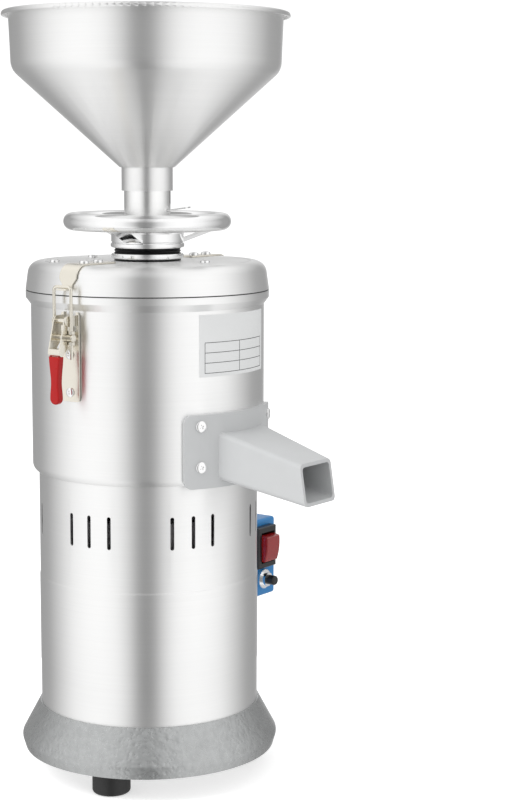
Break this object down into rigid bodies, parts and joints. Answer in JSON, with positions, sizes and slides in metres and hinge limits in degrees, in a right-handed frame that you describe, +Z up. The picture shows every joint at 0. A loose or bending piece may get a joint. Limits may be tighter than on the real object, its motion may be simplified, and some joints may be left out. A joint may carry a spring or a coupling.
{
  "type": "peanut butter machine",
  "caption": "Upright electric nut grinder: round hopper over a feed tube, handwheel that sets the grinding gap, latched lid, polished drum body, side spout and a switch box.",
  "frame": {"origin": "on the machine's axis, at the bottom of the rubber feet", "axes": "+Z up along the motor shaft, +X out through the spout, the switch box on the +Y side"},
  "size_m": [0.3097, 0.2678, 0.6729],
  "materials": {
    "hammered_paint": "hammered silver-grey paint",
    "stainless": "polished stainless sheet",
    "cast_stainless": "cast stainless, fine blasted",
    "tool_steel": "ground hardened steel",
    "chrome": "polished chrome plate",
    "spout_paint": "satin light grey paint",
    "black_steel": "blackened steel",
    "zinc": "warm zinc plate",
    "red_vinyl": "dipped red vinyl",
    "blue_plastic": "moulded blue plastic, satin",
    "black_plastic": "moulded black plastic",
    "red_plastic": "translucent red plastic, taken as solid",
    "rubber": "moulded black rubber",
    "seal_rubber": "food-safe rubber",
    "aluminium": "cast aluminium",
    "lamination": "laminated steel",
    "winding": "varnished copper wire"
  },
  "bodies": {
    "machine_body": {"base_casting": "hammered_paint", "bottom_cover": "tool_steel", "cable_gland": "black_plastic", "discharge_spout": "spout_paint", "foot_screws": "tool_steel", "grinding_bowl": "cast_stainless", "latch_1_plate": "zinc", "latch_1_strap": "zinc", "latch_2_plate": "zinc", "latch_2_strap": "zinc", "latch_pivot_pins": "zinc", "latch_plate_screws": "zinc", "lid": "stainless", "lid_gasket": "seal_rubber", "lid_screws": "chrome", "motor_bearings": "tool_steel", "motor_bolts": "tool_steel", "motor_bottom_shield": "aluminium", "motor_shell": "stainless", "motor_top_shield": "aluminium", "overload_breaker": "chrome", "rocker_housing": "black_plastic", "rubber_feet": "rubber", "run_capacitor": "aluminium", "shaft_seal": "seal_rubber", "spout_screws": "chrome", "stator_core": "lamination", "stator_windings": "winding", "switch_box": "blue_plastic", "switch_box_cover": "blue_plastic", "switch_box_screws": "chrome", "threaded_neck": "black_steel", "upper_shell": "stainless"},
    "rotor": {"motor_shaft": "tool_steel", "motor_rotor": "lamination", "cooling_fan": "black_plastic", "scraper_impeller": "cast_stainless", "grinding_rotor": "tool_steel", "rotor_nut": "tool_steel"},
    "sleeve": {"adjusting_sleeve": "cast_stainless", "grinding_stator": "tool_steel", "feed_tube": "stainless"},
    "lock_ring": {"lock_ring": "chrome"},
    "handwheel": {"handwheel_hub": "chrome", "handwheel_rim": "chrome", "handwheel_spokes": "chrome"},
    "feed_gate": {"feed_gate": "stainless"},
    "hopper": {"hopper": "stainless"},
    "rocker": {"rocker": "red_plastic"},
    "reset_plunger": {"reset_plunger": "black_plastic"},
    "latch_1_handle": {"latch_1_handle": "zinc", "latch_1_grip": "red_vinyl"},
    "latch_1_bail": {"latch_1_barrel": "zinc", "latch_1_bail": "zinc", "latch_1_nuts": "zinc"},
    "latch_2_handle": {"latch_2_handle": "zinc", "latch_2_grip": "red_vinyl"},
    "latch_2_bail": {"latch_2_barrel": "zinc", "latch_2_bail": "zinc", "latch_2_nuts": "zinc"}
  },
  "joints": [
    {"name": "rotor_spin", "type": "hinge", "parent": "machine_body", "child": "rotor", "pos_m": [0, 0, 0.29], "axis": [0, 0, 1], "continuous": true},
    {"name": "sleeve_slide", "type": "slide", "parent": "machine_body", "child": "sleeve", "axis": [0, 0, 1], "range_m": [0, 0.003]},
    {"name": "handwheel_turn", "type": "hinge", "parent": "sleeve", "child": "handwheel", "pos_m": [0, 0, 0.4765], "axis": [0, 0, 1], "range_deg": [0, 450]},
    {"name": "lock_ring_turn", "type": "hinge", "parent": "machine_body", "child": "lock_ring", "pos_m": [0, 0, 0.4626], "axis": [0, 0, 1], "range_deg": [0, 120]},
    {"name": "gate_slide", "type": "slide", "parent": "sleeve", "child": "feed_gate", "axis": [-0.8744, -0.4649, -0.1392], "range_m": [0, 0.012]},
    {"name": "hopper_lift", "type": "slide", "parent": "sleeve", "child": "hopper", "axis": [0, 0, 1], "range_m": [0, 0.03]},
    {"name": "latch_1_handle_turn", "type": "hinge", "parent": "machine_body", "child": "latch_1_handle", "pos_m": [0, -0.114, 0.413], "axis": [-1, 0, 0], "range_deg": [0, 150]},
    {"name": "latch_1_bail_turn", "type": "hinge", "parent": "latch_1_handle", "child": "latch_1_bail", "pos_m": [0, -0.1132, 0.399], "axis": [-1, 0, 0], "range_deg": [-150, 0]},
    {"name": "latch_2_handle_turn", "type": "hinge", "parent": "machine_body", "child": "latch_2_handle", "pos_m": [0, 0.114, 0.413], "axis": [1, 0, 0], "range_deg": [0, 150]},
    {"name": "latch_2_bail_turn", "type": "hinge", "parent": "latch_2_handle", "child": "latch_2_bail", "pos_m": [0, 0.1132, 0.399], "axis": [1, 0, 0], "range_deg": [-150, 0]},
    {"name": "rocker_tilt", "type": "hinge", "parent": "machine_body", "child": "rocker", "pos_m": [0.046, 0.118, 0.1855], "axis": [0, 1, 0], "range_deg": [-14, 0]},
    {"name": "reset_press", "type": "slide", "parent": "machine_body", "child": "reset_plunger", "axis": [-1, 0, 0], "range_m": [0, 0.003], "stiffness_N_per_m": 400}
  ],
  "couplings": [
    {"joint": "sleeve_slide", "follows": "handwheel_turn", "m_per_rad": 0.00038197},
    {"joint": "latch_1_bail_turn", "follows": "latch_1_handle_turn", "ratio": -1},
    {"joint": "latch_2_bail_turn", "follows": "latch_2_handle_turn", "ratio": -1}
  ]
}
